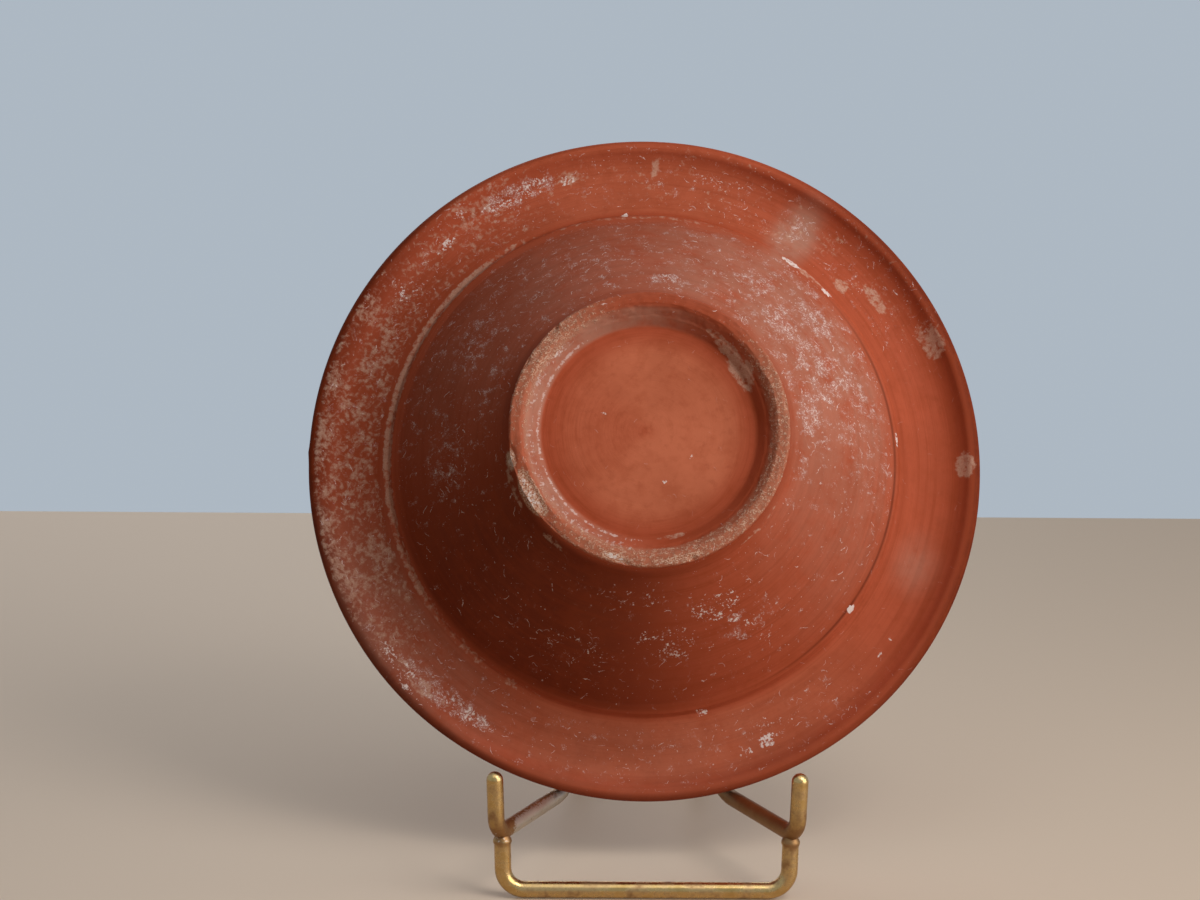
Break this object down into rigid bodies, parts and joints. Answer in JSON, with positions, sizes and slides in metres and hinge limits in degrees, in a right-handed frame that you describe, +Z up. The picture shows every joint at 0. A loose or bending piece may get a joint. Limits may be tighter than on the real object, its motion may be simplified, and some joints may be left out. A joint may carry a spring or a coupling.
{
  "type": "terra sigillata bowl",
  "caption": "Red-slipped pottery bowl with a foot ring, a ridge and a wide down-turned rim, leaning foot forward in a bent brass wire easel.",
  "frame": {"origin": "on the table under the middle of the object's bounding box, at the height of the wire feet's undersides", "axes": "+Z up; -Y towards the viewer, the way the bowl's foot ring and the easel's prongs face; +X to the right as seen from the front; the halves mirror each other across x = 0"},
  "size_m": [0.2001, 0.1174, 0.2076],
  "materials": {
    "red_slip": "satin orange-red slip over fired clay, worn and pitted in places",
    "brass_wire": "drawn brass wire, smooth, with brown tarnish in patches"
  },
  "bodies": {
    "root": {"bowl": "red_slip", "stand_frame": "brass_wire", "stand_front_foot": "brass_wire", "stand_rear_leg": "brass_wire"}
  },
  "joints": []
}
